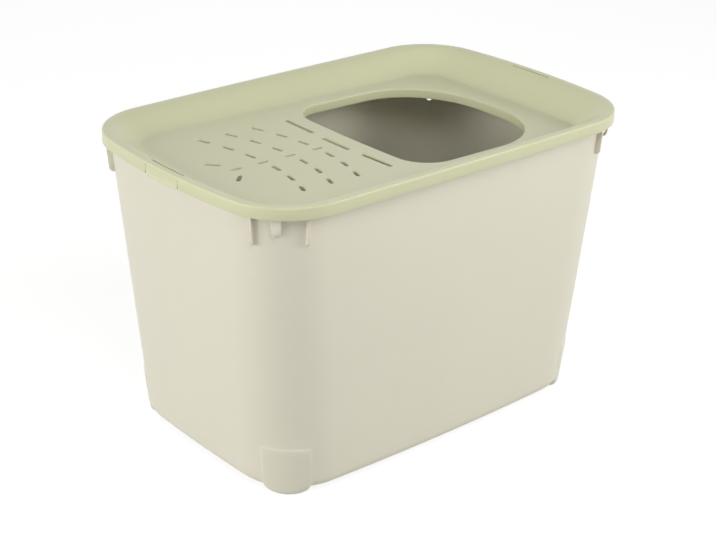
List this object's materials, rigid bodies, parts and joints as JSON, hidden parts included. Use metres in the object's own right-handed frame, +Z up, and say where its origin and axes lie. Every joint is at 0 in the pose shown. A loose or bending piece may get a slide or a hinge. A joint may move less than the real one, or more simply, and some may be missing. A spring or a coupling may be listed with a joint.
{
  "type": "top entry litter box",
  "caption": "Tall tapered plastic litter box whose dished lid has a wide entry opening in its top, drain slots beside it and a flexing latch at each end.",
  "frame": {"origin": "middle of the footprint, on the surface that the box stands on", "axes": "+X along the length towards the entry opening, +Y across the width, +Z up"},
  "size_m": [0.5858, 0.3798, 0.3767],
  "materials": {
    "bin_plastic": "warm ivory moulded polypropylene with a fine satin texture",
    "lid_plastic": "pale sage green moulded polypropylene with a smooth satin finish"
  },
  "bodies": {
    "bin": {"litter_bin": "bin_plastic"},
    "lid": {"top_lid": "lid_plastic"},
    "left_latch": {"latch_tab_left": "lid_plastic"},
    "right_latch": {"latch_tab_right": "lid_plastic"},
    "front_left_hook": {"liner_hook_front_left": "bin_plastic"},
    "front_right_hook": {"liner_hook_front_right": "bin_plastic"},
    "back_left_hook": {"liner_hook_back_left": "bin_plastic"},
    "back_right_hook": {"liner_hook_back_right": "bin_plastic"}
  },
  "joints": [
    {"name": "lid_tip", "type": "hinge", "parent": "bin", "child": "lid", "pos_m": [0.2882, 0, 0.361], "axis": [0, 1, 0], "range_deg": [0, 100]},
    {"name": "left_latch_flex", "type": "hinge", "parent": "lid", "child": "left_latch", "pos_m": [-0.2913, 0, 0.372], "axis": [0, 1, 0], "range_deg": [0, 8], "stiffness_Nm_per_rad": 0.3},
    {"name": "right_latch_flex", "type": "hinge", "parent": "lid", "child": "right_latch", "pos_m": [0.2913, 0, 0.372], "axis": [0, -1, 0], "range_deg": [0, 8], "stiffness_Nm_per_rad": 0.3},
    {"name": "front_left_hook_flex", "type": "hinge", "parent": "bin", "child": "front_left_hook", "pos_m": [-0.25749, -0.15961, 0.36094], "axis": [-0.7071, 0.7071, 0], "range_deg": [0, 6], "stiffness_Nm_per_rad": 0.3},
    {"name": "front_right_hook_flex", "type": "hinge", "parent": "bin", "child": "front_right_hook", "pos_m": [0.25749, -0.15961, 0.36094], "axis": [-0.7071, -0.7071, 0], "range_deg": [0, 6], "stiffness_Nm_per_rad": 0.3},
    {"name": "back_left_hook_flex", "type": "hinge", "parent": "bin", "child": "back_left_hook", "pos_m": [-0.25749, 0.15961, 0.36094], "axis": [0.7071, 0.7071, 0], "range_deg": [0, 6], "stiffness_Nm_per_rad": 0.3},
    {"name": "back_right_hook_flex", "type": "hinge", "parent": "bin", "child": "back_right_hook", "pos_m": [0.25749, 0.15961, 0.36094], "axis": [0.7071, -0.7071, 0], "range_deg": [0, 6], "stiffness_Nm_per_rad": 0.3}
  ]
}
